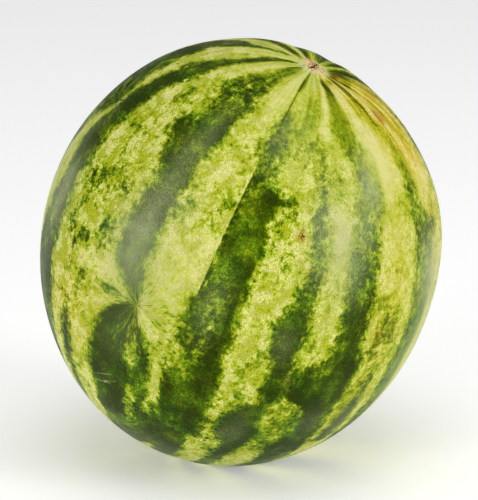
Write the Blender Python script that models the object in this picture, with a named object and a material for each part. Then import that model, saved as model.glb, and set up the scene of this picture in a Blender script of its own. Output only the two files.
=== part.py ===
"""A whole round watermelon, resting on its own underside with the stem end up and leaning.

The fruit grew as one piece, so it is one closed solid. Its form is a formula: a spheroid that
is longer along the stem axis, three broad swellings, and then the low relief of the rind, which
is the stem basin with its furrows and corky scar, the navel where the flower sat, and two
puckers where the young skin healed and drew in. The surface plane z = 0 presses it flat where it
rests, and the origin is the middle of that flat spot.

Directions on the fruit are given as a polar angle from the stem, 0 at the stem and 180 at the
navel, and a longitude round the stem axis, 0 on the front (-Y) and positive towards +X.
"""

import math

import bmesh
import bpy
import numpy as np

NAME = "watermelon"

# Driving sizes, in metres and degrees
HALF_LENGTH = 0.1285  # centre to either end, along the stem axis
HALF_WIDTH = 0.1185  # centre to the side
FRUIT_CENTRE = np.array((0.0064, -0.0010, 0.1270))  # its height leaves a cap 2.7 mm deep below z = 0
STEM_LEAN = 21.7  # how far the stem end leans from straight up
STEM_HEADING = -24.3  # the way it leans, counterclockwise from +X seen from above

# Broad swellings of the whole form: polar angle, longitude, height, angular spread
SWELLINGS = (
    (62, 98, 0.0025, 19),
    (52, -115, 0.0060, 55),
    (152, 31, 0.0028, 50),
)

# Stem end: a shallow basin, furrows that fan out of it, and the oval scar of the stem
BASIN_DEPTH = 0.0030
BASIN_SPREAD = 0.024
FURROWS = 9
FURROW_DEPTH = 0.0009
FURROW_REACH = 0.022
FURROW_UNEVENNESS = 0.9
SCAR_HALF_LENGTH = 0.0095
SCAR_HALF_WIDTH = 0.0068
SCAR_TURN = 30  # from the front towards longitude 90
COLLAR_HEIGHT = 0.0015
COLLAR_SPREAD = 0.24  # as a share of the scar's own radius
COLLAR_LUMPS = 5
SCAR_FLOOR_DEPTH = 0.0014

# Navel: a dimple round the small nub that the flower left
NAVEL_DEPTH = 0.0018
NAVEL_SPREAD = 0.013
NUB_HEIGHT = 0.0016
NUB_SPREAD = 0.0032

# Healed puckers: polar angle, longitude, depth of the funnel, how wide it opens, wrinkles round it
PUCKERS = (
    (93.7, -28.5, 0.0036, 0.010, 11),
    (58.2, -87.5, 0.0032, 0.010, 9),
)
SADDLE_SHARE = 0.35  # the wide hollow round a pucker, as a share of its depth
SADDLE_SPREAD = 3.0  # and as a multiple of its width
WRINKLE_HEIGHT = 0.0005

# Mesh fineness: an even ball of triangles, halved again where the relief is small
BALL_SUBDIVISIONS = 5
STEM_REACHES = (20, 11)
NAVEL_REACHES = (11,)
PUCKER_REACHES = (12, 7)
SPOT_REACH = 17
MERGE_DISTANCE = 0.0001

RIND_COLOUR = (0.16, 0.30, 0.03, 1.0)
RIND_ROUGHNESS = 0.38


def direction(polar, longitude):
    """Unit direction on the fruit, in its own front, side and stem axes."""
    polar, longitude = math.radians(polar), math.radians(longitude)
    return np.array(
        (math.sin(polar) * math.cos(longitude), math.sin(polar) * math.sin(longitude), math.cos(polar))
    )


def fruit_axes():
    """The fruit's front, side and stem directions, as rows, in the model's axes."""
    lean, heading = math.radians(STEM_LEAN), math.radians(STEM_HEADING)
    stem = np.array((math.sin(lean) * math.cos(heading), math.sin(lean) * math.sin(heading), math.cos(lean)))
    front = np.array((0.0, -1.0, 0.0))
    front = front - stem * front.dot(stem)
    front /= np.linalg.norm(front)
    return np.array((front, np.cross(stem, front), stem))


def bell(distance, spread):
    return np.exp(-((distance / spread) ** 2))


def angle_between(dirs, other):
    return np.arccos(np.clip(dirs @ other, -1.0, 1.0))


def swellings(dirs):
    total = np.zeros(len(dirs))
    for polar, longitude, height, spread in SWELLINGS:
        total += height * bell(angle_between(dirs, direction(polar, longitude)), math.radians(spread))
    return total


def stem_end(dirs):
    """Basin, furrows and scar, by the distance from the stem and the longitude."""
    reach = HALF_WIDTH * angle_between(dirs, direction(0, 0))
    longitude = np.arctan2(dirs[:, 1], dirs[:, 0])
    basin = -BASIN_DEPTH * bell(reach, BASIN_SPREAD)

    swing = FURROWS * longitude + FURROW_UNEVENNESS * np.sin(2.0 * longitude)
    fade = (reach / FURROW_REACH) * np.exp(1.0 - reach / FURROW_REACH)
    furrows = -FURROW_DEPTH * (0.5 + 0.5 * np.cos(swing)) ** 2 * fade

    turned = longitude - math.radians(SCAR_TURN)
    across = np.hypot(np.cos(turned) / SCAR_HALF_LENGTH, np.sin(turned) / SCAR_HALF_WIDTH)
    share = reach * across  # 1 on the scar's oval outline
    lumps = 1.0 + 0.35 * np.cos(COLLAR_LUMPS * turned + 1.0)
    collar = COLLAR_HEIGHT * lumps * bell(share - 0.9, COLLAR_SPREAD)
    floor = -SCAR_FLOOR_DEPTH * bell(share, 0.6)
    return basin + furrows + collar + floor


def navel(dirs):
    reach = HALF_WIDTH * angle_between(dirs, direction(180, 0))
    return NUB_HEIGHT * bell(reach, NUB_SPREAD) - NAVEL_DEPTH * bell(reach, NAVEL_SPREAD)


def pucker(dirs, polar, longitude, depth, width, wrinkles):
    """A pinched funnel in a wide hollow, with wrinkles that run into it."""
    middle = direction(polar, longitude)
    down = direction(polar + 90, longitude)
    along = np.cross(down, middle)
    reach = HALF_WIDTH * angle_between(dirs, middle)
    turn = np.arctan2(dirs @ down, dirs @ along)
    funnel = -depth * np.exp(-reach / width)
    saddle = -SADDLE_SHARE * depth * bell(reach, SADDLE_SPREAD * width)
    rings = bell(reach - width, 0.8 * width)
    ridges = WRINKLE_HEIGHT * np.cos(wrinkles * turn + 1.5 * np.sin(2.0 * turn)) * rings
    return funnel + saddle + ridges


def form(dirs):
    """Points of the rind, in the model's axes, for unit directions on the fruit."""
    sizes = np.array((HALF_WIDTH, HALF_WIDTH, HALF_LENGTH))
    outward = dirs / sizes
    outward /= np.linalg.norm(outward, axis=1, keepdims=True)
    height = swellings(dirs) + stem_end(dirs) + navel(dirs)
    for healed in PUCKERS:
        height += pucker(dirs, *healed)
    return FRUIT_CENTRE + (dirs * sizes + outward * height[:, None]) @ fruit_axes()


def halve_triangles(mesh, middle, reach):
    """Halve the edges that lie within an angle of a direction, and keep the ball round."""
    limit = math.cos(math.radians(reach))
    near = {v for v in mesh.verts if np.dot(v.co.normalized(), middle) > limit}
    edges = [e for e in mesh.edges if e.verts[0] in near and e.verts[1] in near]
    bmesh.ops.subdivide_edges(mesh, edges=edges, cuts=1, use_grid_fill=True)
    bmesh.ops.triangulate(mesh, faces=mesh.faces)
    for vert in mesh.verts:
        vert.co.normalize()


def ball_of_directions():
    """A unit ball of triangles, finer round the stem, navel, puckers and flat spot."""
    mesh = bmesh.new()
    bmesh.ops.create_icosphere(mesh, subdivisions=BALL_SUBDIVISIONS, radius=1.0)
    for reach in STEM_REACHES:
        halve_triangles(mesh, direction(0, 0), reach)
    for reach in NAVEL_REACHES:
        halve_triangles(mesh, direction(180, 0), reach)
    for polar, longitude, *_ in PUCKERS:
        for reach in PUCKER_REACHES:
            halve_triangles(mesh, direction(polar, longitude), reach)
    towards_spot = fruit_axes() @ -FRUIT_CENTRE
    halve_triangles(mesh, towards_spot / np.linalg.norm(towards_spot), SPOT_REACH)
    return mesh


def press_flat(mesh):
    """Cut the underside at z = 0 and close it with the flat spot that the fruit rests on."""
    geometry = mesh.verts[:] + mesh.edges[:] + mesh.faces[:]
    cut = bmesh.ops.bisect_plane(
        mesh, geom=geometry, dist=MERGE_DISTANCE, plane_co=(0, 0, 0), plane_no=(0, 0, 1), clear_inner=True
    )
    rim = [item for item in cut["geom_cut"] if isinstance(item, bmesh.types.BMEdge)]
    for edge in rim:
        for vert in edge.verts:
            vert.co.z = 0.0
    bmesh.ops.contextual_create(mesh, geom=rim)
    bmesh.ops.remove_doubles(mesh, verts=mesh.verts, dist=MERGE_DISTANCE)
    bmesh.ops.triangulate(mesh, faces=mesh.faces)
    bmesh.ops.recalc_face_normals(mesh, faces=mesh.faces)


def rind_material():
    material = bpy.data.materials.new("rind")
    material.use_nodes = True
    shader = material.node_tree.nodes["Principled BSDF"]
    shader.inputs["Base Color"].default_value = RIND_COLOUR
    shader.inputs["Roughness"].default_value = RIND_ROUGHNESS
    shader.inputs["Metallic"].default_value = 0.0
    material.diffuse_color = RIND_COLOUR
    return material


def build_watermelon(collection):
    mesh = ball_of_directions()
    dirs = np.array([vert.co[:] for vert in mesh.verts])
    for vert, point in zip(mesh.verts, form(dirs)):
        vert.co = point
    press_flat(mesh)

    data = bpy.data.meshes.new(NAME)
    mesh.to_mesh(data)
    mesh.free()
    data.shade_smooth()
    data.materials.append(rind_material())
    fruit = bpy.data.objects.new(NAME, data)
    collection.objects.link(fruit)
    return fruit


def main():
    for leftover in list(bpy.data.objects):
        bpy.data.objects.remove(leftover)
    collection = bpy.data.collections.new(NAME)
    bpy.context.scene.collection.children.link(collection)
    build_watermelon(collection)


main()
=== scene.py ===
"""A whole striped watermelon: its rind, its corky stem scar and its navel, on a pale studio floor.

Directions on the fruit are a polar angle from the stem, 0 at the stem and 180 at the navel, and a
longitude round the stem axis, 0 on the front and positive towards +X. Sizes are in metres and
degrees, as in the solid model.
"""

import math

import bpy
import numpy as np
from mathutils import Matrix, Vector


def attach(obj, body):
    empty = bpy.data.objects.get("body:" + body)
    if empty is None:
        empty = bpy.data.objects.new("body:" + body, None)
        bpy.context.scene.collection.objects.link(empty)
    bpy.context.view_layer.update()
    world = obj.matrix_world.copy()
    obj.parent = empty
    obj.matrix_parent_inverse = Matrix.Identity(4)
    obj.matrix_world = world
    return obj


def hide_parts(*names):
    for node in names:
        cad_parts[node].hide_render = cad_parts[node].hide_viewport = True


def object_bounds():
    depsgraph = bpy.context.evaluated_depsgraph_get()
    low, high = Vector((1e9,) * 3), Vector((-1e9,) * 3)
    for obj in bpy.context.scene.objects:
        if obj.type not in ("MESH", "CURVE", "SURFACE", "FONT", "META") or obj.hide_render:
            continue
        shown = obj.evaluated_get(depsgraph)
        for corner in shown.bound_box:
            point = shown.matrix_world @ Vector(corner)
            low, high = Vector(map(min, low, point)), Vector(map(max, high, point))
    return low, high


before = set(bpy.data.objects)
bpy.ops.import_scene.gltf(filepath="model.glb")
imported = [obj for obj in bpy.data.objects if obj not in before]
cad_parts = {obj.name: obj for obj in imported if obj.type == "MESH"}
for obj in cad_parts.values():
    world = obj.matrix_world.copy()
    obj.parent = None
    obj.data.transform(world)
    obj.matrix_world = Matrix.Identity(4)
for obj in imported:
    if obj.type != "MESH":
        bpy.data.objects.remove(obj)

CAD_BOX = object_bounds()
FLOOR_HEIGHT = CAD_BOX[0].z

# ---- the fruit's sizes

HALF_LENGTH = 0.1285
HALF_WIDTH = 0.1185
FRUIT_CENTRE = Vector((0.0064, -0.0010, 0.1270))
STEM_LEAN = 21.7
STEM_HEADING = -24.3

# Broad swellings: polar angle, longitude, height, angular spread
SWELLINGS = (
    (62, 98, 0.0025, 19),
    (52, -115, 0.0060, 55),
    (152, 31, 0.0028, 50),
)

BASIN_DEPTH = 0.0030
BASIN_SPREAD = 0.024
FURROWS = 9
FURROW_DEPTH = 0.0009
FURROW_REACH = 0.022
FURROW_UNEVENNESS = 0.9
SCAR_HALF_LENGTH = 0.0095
SCAR_HALF_WIDTH = 0.0068
SCAR_TURN = 30
COLLAR_HEIGHT = 0.0015
COLLAR_SPREAD = 0.24
COLLAR_LUMPS = 5
SCAR_FLOOR_DEPTH = 0.0014

NAVEL_DEPTH = 0.0018
NAVEL_SPREAD = 0.013
NUB_HEIGHT = 0.0016
NUB_SPREAD = 0.0032

# Healed puckers: polar angle, longitude, depth, width, wrinkles round it
PUCKERS = (
    (93.7, -28.5, 0.0036, 0.010, 11),
    (58.2, -87.5, 0.0032, 0.010, 9),
)
SADDLE_SHARE = 0.35
SADDLE_SPREAD = 3.0
WRINKLE_HEIGHT = 0.0005

SKIN_INSET = 0.00015  # the fine skin lies just inside the faceted solid's box
SEGMENTS = 360
RINGS = 250
RING_CROWDING = 0.45  # how much closer the rings lie at the stem and the navel


def fruit_axes():
    """The fruit's front, side and stem directions, as columns of a turn."""
    lean, heading = math.radians(STEM_LEAN), math.radians(STEM_HEADING)
    stem = Vector((math.sin(lean) * math.cos(heading), math.sin(lean) * math.sin(heading), math.cos(lean)))
    front = Vector((0.0, -1.0, 0.0))
    front = (front - stem * front.dot(stem)).normalized()
    side = stem.cross(front)
    return Matrix((front, side, stem)).transposed()


FRUIT_TURN = fruit_axes()


def direction(polar, longitude):
    """Unit direction on the fruit, in its own front, side and stem axes."""
    polar, longitude = math.radians(polar), math.radians(longitude)
    return Vector(
        (math.sin(polar) * math.cos(longitude), math.sin(polar) * math.sin(longitude), math.cos(polar))
    )


# ---- node trees, written as formulas

FLOAT = "NodeSocketFloat"
VECTOR = "NodeSocketVector"
WHOLE = "NodeSocketInt"
GEOMETRY = "NodeSocketGeometry"


def feed(tree, value, socket):
    """Join a wire to a socket, or set the socket to a plain value."""
    if isinstance(value, Wire):
        value = value.socket
    if isinstance(value, bpy.types.NodeSocket):
        tree.links.new(value, socket)
    else:
        socket.default_value = value


def add(tree, kind, feeds=(), **settings):
    """Add a node, with its settings and what feeds its inputs, by name or by number."""
    node = tree.nodes.new(kind)
    for name, setting in settings.items():
        setattr(node, name, setting)
    for name, value in dict(feeds).items():
        feed(tree, value, node.inputs[name])
    return node


class Wire:
    """A value on its way through a tree, which takes part in sums."""

    def __init__(self, tree, socket):
        self.tree = tree
        self.socket = socket

    def node(self, operation, *others):
        return add(self.tree, self.KIND, enumerate((self, *others)), operation=operation)

    def calc(self, operation, *others):
        return type(self)(self.tree, self.node(operation, *others).outputs[0])

    def __add__(self, other):
        return self.calc("ADD", other)

    def __sub__(self, other):
        return self.calc("SUBTRACT", other)

    def __mul__(self, other):
        return self.calc("MULTIPLY", other)

    def __truediv__(self, other):
        return self.calc("DIVIDE", other)


class Number(Wire):
    """A number on its way."""

    KIND = "ShaderNodeMath"

    def __rsub__(self, other):
        return self.calc("MULTIPLY_ADD", -1.0, other)

    def __neg__(self):
        return self.calc("MULTIPLY", -1.0)

    def squared(self):
        return self.calc("MULTIPLY", self)

    def step(self, low, high):
        """0 below low and 1 above high, with a soft rise between them."""
        feeds = {"Value": self, "From Min": low, "From Max": high}
        node = add(self.tree, "ShaderNodeMapRange", feeds, interpolation_type="SMOOTHSTEP")
        return Number(self.tree, node.outputs[0])


class Arrow(Wire):
    """A direction, place or colour on its way."""

    KIND = "ShaderNodeVectorMath"

    def scaled(self, factor):
        node = add(self.tree, "ShaderNodeVectorMath", {0: self, "Scale": factor}, operation="SCALE")
        return Arrow(self.tree, node.outputs["Vector"])

    def unit(self):
        return self.calc("NORMALIZE")

    def dot(self, other):
        return Number(self.tree, self.node("DOT_PRODUCT", other).outputs["Value"])

    def length(self):
        return Number(self.tree, self.node("LENGTH").outputs["Value"])

    def parts(self):
        node = add(self.tree, "ShaderNodeSeparateXYZ", {0: self})
        return [Number(self.tree, socket) for socket in node.outputs]


def arrow(tree, x, y, z):
    node = add(tree, "ShaderNodeCombineXYZ", {0: x, 1: y, 2: z})
    return Arrow(tree, node.outputs[0])


def noise(tree, where, size, detail=3.0, roughness=0.55, distortion=0.0):
    """Cloudy variation round 0, with features of about the given size in metres."""
    scale = size.calc("POWER", -1.0) if isinstance(size, Wire) else 1.0 / size
    feeds = {"Vector": where, "Scale": scale, "Detail": detail, "Roughness": roughness}
    node = add(tree, "ShaderNodeTexNoise", {**feeds, "Distortion": distortion})
    return Number(tree, node.outputs[0]) - 0.5


def new_tree(name, kind, inputs, outputs):
    """A tree with named inputs and outputs, given as label: (socket type, default).

    Returns the tree, its inputs as wires and the sockets of its outputs.
    """
    tree = bpy.data.node_groups.new(name, kind)
    for label, (socket_type, default) in inputs.items():
        socket = tree.interface.new_socket(label, in_out="INPUT", socket_type=socket_type)
        if default is not None:
            socket.default_value = default
    for label, socket_type in outputs.items():
        tree.interface.new_socket(label, in_out="OUTPUT", socket_type=socket_type)
    start = tree.nodes.new("NodeGroupInput").outputs
    given = {}
    for label, (socket_type, _) in inputs.items():
        wire = Arrow if socket_type == VECTOR else Number
        given[label] = wire(tree, start[label])
    return tree, given, tree.nodes.new("NodeGroupOutput").inputs


def piece_tree(name, inputs):
    """The tree of a piece: its sizes go in and its geometry comes out."""
    inputs = {"Geometry": (GEOMETRY, None), **inputs}
    return new_tree(name, "GeometryNodeTree", inputs, {"Geometry": GEOMETRY})


# ---- the form of the fruit


def bell(distance, spread):
    """A smooth hill of height 1."""
    return (-(distance / spread).squared()).calc("EXPONENT")


def angle_from(way, polar, longitude):
    """Angle between a direction and a place on the fruit, in radians."""
    return way.dot(direction(polar, longitude)).calc("ARCCOSINE")


def stem_end_height(given, way):
    """Basin, furrows and the collar and floor of the scar."""
    reach = angle_from(way, 0, 0) * given["Half Width"]
    x, y, _ = way.parts()
    longitude = y.calc("ARCTAN2", x)
    basin = bell(reach, BASIN_SPREAD) * given["Basin Depth"]

    swing = longitude * FURROWS + (longitude * 2.0).calc("SINE") * FURROW_UNEVENNESS
    share_of_reach = reach / FURROW_REACH
    fade = share_of_reach * (1.0 - share_of_reach).calc("EXPONENT")
    groove = (swing.calc("COSINE") * 0.5 + 0.5).squared()
    furrows = groove * fade * given["Furrow Depth"]

    turned = longitude - math.radians(SCAR_TURN)
    along = turned.calc("COSINE") / SCAR_HALF_LENGTH
    across = turned.calc("SINE") / SCAR_HALF_WIDTH
    share = reach * arrow(way.tree, along, across, 0.0).length()
    lumps = (turned * COLLAR_LUMPS + 1.0).calc("COSINE") * 0.35 + 1.0
    collar = bell(share - 0.9, COLLAR_SPREAD) * lumps * given["Collar Height"]
    floor = bell(share, 0.6) * SCAR_FLOOR_DEPTH
    return collar - basin - furrows - floor


def navel_height(given, way):
    reach = angle_from(way, 180, 0) * given["Half Width"]
    return bell(reach, NUB_SPREAD) * NUB_HEIGHT - bell(reach, NAVEL_SPREAD) * NAVEL_DEPTH


def pucker_height(given, way, polar, longitude, depth, width, wrinkles):
    """A pinched funnel in a wide hollow, with wrinkles that run into it."""
    middle = direction(polar, longitude)
    down = direction(polar + 90, longitude)
    along = down.cross(middle)
    reach = angle_from(way, polar, longitude) * given["Half Width"]
    turn = way.dot(down).calc("ARCTAN2", way.dot(along))
    funnel = (-(reach / width)).calc("EXPONENT") * depth
    saddle = bell(reach, SADDLE_SPREAD * width) * (SADDLE_SHARE * depth)
    swing = turn * wrinkles + (turn * 2.0).calc("SINE") * 1.5
    ridges = swing.calc("COSINE") * bell(reach - width, 0.8 * width) * WRINKLE_HEIGHT
    return ridges - funnel - saddle


def fruit_form_group():
    """From a direction on the fruit to the place of the skin there, in the fruit's own axes."""
    tree, given, result = new_tree(
        "Fruit Form",
        "GeometryNodeTree",
        {
            "Direction": (VECTOR, None),
            "Half Length": (FLOAT, HALF_LENGTH),
            "Half Width": (FLOAT, HALF_WIDTH),
            "Basin Depth": (FLOAT, BASIN_DEPTH),
            "Furrow Depth": (FLOAT, FURROW_DEPTH),
            "Collar Height": (FLOAT, COLLAR_HEIGHT),
            "Proud": (FLOAT, 0.0),
        },
        {"Position": VECTOR},
    )
    way = given["Direction"]
    sizes = arrow(tree, given["Half Width"], given["Half Width"], given["Half Length"])
    height = stem_end_height(given, way) + navel_height(given, way) + given["Proud"]
    for polar, longitude, swell, spread in SWELLINGS:
        height = height + bell(angle_from(way, polar, longitude), math.radians(spread)) * swell
    for healed in PUCKERS:
        height = height + pucker_height(given, way, *healed)
    outward = (way / sizes).unit()
    feed(tree, way * sizes + outward.scaled(height), result["Position"])
    return tree


FRUIT_FORM = fruit_form_group()


# ---- steps that the trees share


def place_on_form(tree, way, proud, sizes=()):
    """Where the skin is in a direction, or at a height above it, by the fruit form group."""
    feeds = {"Direction": way, "Proud": proud, **dict(sizes)}
    return add(tree, "GeometryNodeGroup", feeds, node_tree=FRUIT_FORM).outputs["Position"]


def point_places(tree):
    return Arrow(tree, add(tree, "GeometryNodeInputPosition").outputs[0])


def move_points(tree, geometry, place):
    return add(tree, "GeometryNodeSetPosition", {"Geometry": geometry, "Position": place}).outputs[0]


def keep(tree, geometry, name, value, kind="FLOAT_VECTOR", domain="POINT"):
    """Store a value on every point or corner under a name."""
    feeds = {"Geometry": geometry, "Name": name, "Value": value}
    return add(tree, "GeometryNodeStoreNamedAttribute", feeds, data_type=kind, domain=domain).outputs[0]


def kept_arrow(tree, name):
    """The direction or place stored under a name."""
    node = add(tree, "GeometryNodeInputNamedAttribute", {"Name": name}, data_type="FLOAT_VECTOR")
    return Arrow(tree, node.outputs[0])


def unit_ball(tree, segments, rings):
    """A closed ball of radius 1, with its texture coordinates kept for the bake."""
    feeds = {"Segments": segments, "Rings": rings, "Radius": 1.0}
    ball = add(tree, "GeometryNodeMeshUVSphere", feeds).outputs
    return keep(tree, ball["Mesh"], "OFBake", ball["UV Map"], "FLOAT2", "CORNER")


def random_number(tree, low, high, seed=0):
    """A random number for every point."""
    feeds = {2: low, 3: high, "Seed": seed}
    return Number(tree, add(tree, "FunctionNodeRandomValue", feeds, data_type="FLOAT").outputs[1])


def finish_tree(tree, geometry, material, result):
    """Stand the piece up as the fruit leans, press it flat where it rests, and paint its real mesh."""
    turn = FRUIT_TURN.to_euler()
    feeds = {"Geometry": geometry, "Translation": FRUIT_CENTRE, "Rotation": turn}
    placed = add(tree, "GeometryNodeTransform", feeds).outputs[0]
    x, y, z = point_places(tree).parts()
    pressed = move_points(tree, placed, arrow(tree, x, y, z.calc("MAXIMUM", FLOOR_HEIGHT)))
    real = add(tree, "GeometryNodeRealizeInstances", {"Geometry": pressed}).outputs[0]
    smooth = add(tree, "GeometryNodeSetShadeSmooth", {"Geometry": real}).outputs[0]
    painted = add(tree, "GeometryNodeSetMaterial", {"Geometry": smooth, "Material": material})
    feed(tree, painted.outputs[0], result["Geometry"])


def grow(name, tree, sizes=()):
    """Run a tree with its own sizes and keep the result as a plain mesh object."""
    piece = bpy.data.objects.new(name, bpy.data.meshes.new(name + "_seed"))
    bpy.context.scene.collection.objects.link(piece)
    modifier = piece.modifiers.new(name, "NODES")
    modifier.node_group = tree
    inputs = [item for item in tree.interface.items_tree if item.in_out == "INPUT"]
    sockets = {item.name: item.identifier for item in inputs}
    for label, value in dict(sizes).items():
        modifier[sockets[label]] = value
    depsgraph = bpy.context.evaluated_depsgraph_get()
    shape = piece.evaluated_get(depsgraph)
    mesh = bpy.data.meshes.new_from_object(shape, preserve_all_data_layers=True, depsgraph=depsgraph)
    piece.modifiers.remove(modifier)
    piece.data = mesh
    mesh.name = name
    return piece


# ---- the skin, the cork and the stem's strands


def rind_tree(material):
    """The skin as a ball of rings round the stem axis, crowded towards both ends."""
    tree, given, result = piece_tree(
        "Rind",
        {
            "Half Length": (FLOAT, HALF_LENGTH),
            "Half Width": (FLOAT, HALF_WIDTH),
            "Segments": (WHOLE, SEGMENTS),
            "Rings": (WHOLE, RINGS),
            "Ring Crowding": (FLOAT, RING_CROWDING),
            "Skin Inset": (FLOAT, SKIN_INSET),
        },
    )
    ball = unit_ball(tree, given["Segments"], given["Rings"])
    x, y, z = point_places(tree).parts()
    polar = z.calc("ARCCOSINE")
    polar = polar - (polar * 2.0).calc("SINE") * (given["Ring Crowding"] * 0.5)
    longitude = y.calc("ARCTAN2", x)
    ring = polar.calc("SINE")
    way = arrow(tree, ring * longitude.calc("COSINE"), ring * longitude.calc("SINE"), polar.calc("COSINE"))
    ball = keep(tree, ball, "direction", way)

    sizes = {label: given[label] for label in ("Half Length", "Half Width")}
    place = place_on_form(tree, kept_arrow(tree, "direction"), -given["Skin Inset"], sizes)
    finish_tree(tree, move_points(tree, ball, place), material, result)
    return tree


def oval_direction(tree, turn, across, up):
    """From places in a flat oval round the stem axis to directions on the fruit."""
    feeds = {"Vector": across, "Angle": turn}
    turned = add(tree, "ShaderNodeVectorRotate", feeds, rotation_type="Z_AXIS")
    flat = Arrow(tree, turned.outputs[0])
    reach = flat.length() / HALF_WIDTH
    x, y, _ = flat.unit().parts()
    ring = reach.calc("SINE")
    return arrow(tree, ring * x, ring * y, reach.calc("COSINE") * up)


# The lens of cork that fills the stem scar
CORK_HALF_LENGTH = 0.0088
CORK_HALF_WIDTH = 0.0051
CORK_THICKNESS = 0.0017
CORK_SINK = 0.0003  # how deep the lens sits in the skin
CORK_LUMP_HEIGHT = 0.0007
CORK_LUMP_SIZE = 0.0030
CORK_SEGMENTS = 120
CORK_RINGS = 80
CLEFT_DEPTH = 0.0011
CLEFT_PLACE = -0.12  # along the lens, as a share of its half-length from the middle
CLEFT_WIDTH = 0.13
CLEFT_SLANT = 0.25

# The same lens, smaller, at the navel
NAVEL_CORK = {
    "Cork Half Length": 0.0036,
    "Cork Half Width": 0.0032,
    "Pole Side": -1.0,
    "Thickness": 0.0006,
    "Lump Height": 0.0004,
    "Lump Size": 0.0016,
    "Cleft Depth": 0.0,
    "Seed": 8.0,
}


def cork_lens_tree(material):
    """A closed lens of cork that sits in the skin, lumpy on top and split by a cleft."""
    tree, given, result = piece_tree(
        "Cork Lens",
        {
            "Cork Half Length": (FLOAT, CORK_HALF_LENGTH),
            "Cork Half Width": (FLOAT, CORK_HALF_WIDTH),
            "Turn": (FLOAT, math.radians(SCAR_TURN)),
            "Pole Side": (FLOAT, 1.0),
            "Thickness": (FLOAT, CORK_THICKNESS),
            "Lump Height": (FLOAT, CORK_LUMP_HEIGHT),
            "Lump Size": (FLOAT, CORK_LUMP_SIZE),
            "Cleft Depth": (FLOAT, CLEFT_DEPTH),
            "Seed": (FLOAT, 3.0),
        },
    )
    lens = keep(tree, unit_ball(tree, CORK_SEGMENTS, CORK_RINGS), "spot", point_places(tree))
    x, y, z = kept_arrow(tree, "spot").parts()
    flat = arrow(tree, x * given["Cork Half Length"], y * given["Cork Half Width"], 0.0)
    place = flat + arrow(tree, 0.0, 0.0, given["Seed"])
    lumps = noise(tree, place, given["Lump Size"], 3.0, 0.5)
    crumbs = noise(tree, place, given["Lump Size"] * 0.25, 2.0, 0.5)
    relief = lumps * 2.0 + crumbs * 0.7
    cleft = bell(x - CLEFT_PLACE + y * CLEFT_SLANT + crumbs * 0.25, CLEFT_WIDTH) * z.step(0.1, 0.5)
    raised = relief * given["Lump Height"] - cleft * given["Cleft Depth"]
    height = z * given["Thickness"] - CORK_SINK + raised * z.step(0.05, 0.5)
    # kept height of the cork, cleft deepest; the cork's colour follows it, so its dark cleft and pits are
    # partly painted shade
    lens = keep(tree, lens, "relief", relief - cleft * 2.2, "FLOAT")

    way = oval_direction(tree, given["Turn"], flat, given["Pole Side"])
    lens = move_points(tree, lens, place_on_form(tree, way, height))
    finish_tree(tree, lens, material, result)
    return tree


STUB_SIDES = 9
STUB_TAPER = 0.55  # the width of a stub's top, as a share of its foot
STUB_LEAN = 0.55


def stem_fibres_tree(material):
    """Short broken stubs of the stem's strands, standing on the scar."""
    tree, given, result = piece_tree(
        "Stem Fibres",
        {
            "Count": (WHOLE, 22),
            "Spread": (FLOAT, 0.62),
            "Stub Length": (FLOAT, 0.0017),
            "Stub Radius": (FLOAT, 0.0005),
            "Turn": (FLOAT, math.radians(SCAR_TURN)),
            "Seed": (WHOLE, 5),
        },
    )
    points = add(tree, "GeometryNodePoints", {"Count": given["Count"]}).outputs[0]
    turn = random_number(tree, 0.0, math.tau, given["Seed"])
    share = random_number(tree, 0.15, 1.0, given["Seed"] + 1.0).calc("SQRT") * given["Spread"]
    along = turn.calc("COSINE") * share * SCAR_HALF_LENGTH
    across = turn.calc("SINE") * share * SCAR_HALF_WIDTH
    way = oval_direction(tree, given["Turn"], arrow(tree, along, across, 0.0), 1.0)
    points = move_points(tree, points, place_on_form(tree, way, 0.0))

    lean_range = {0: (-STUB_LEAN, -STUB_LEAN, 0.8), 1: (STUB_LEAN, STUB_LEAN, 1.0)}
    lean = add(tree, "FunctionNodeRandomValue", lean_range, data_type="FLOAT_VECTOR").outputs[0]
    aim = add(tree, "FunctionNodeAlignRotationToVector", {"Vector": lean}, axis="Z").outputs[0]
    cone = {
        "Vertices": STUB_SIDES,
        "Radius Top": given["Stub Radius"] * STUB_TAPER,
        "Radius Bottom": given["Stub Radius"],
        "Depth": given["Stub Length"],
    }
    stub = add(tree, "GeometryNodeMeshCone", cone).outputs[0]
    feeds = {"Points": points, "Instance": stub, "Rotation": aim, "Scale": random_number(tree, 0.55, 1.25)}
    stubs = add(tree, "GeometryNodeInstanceOnPoints", feeds).outputs[0]
    finish_tree(tree, stubs, material, result)
    return tree


# ---- markings of the rind

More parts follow.
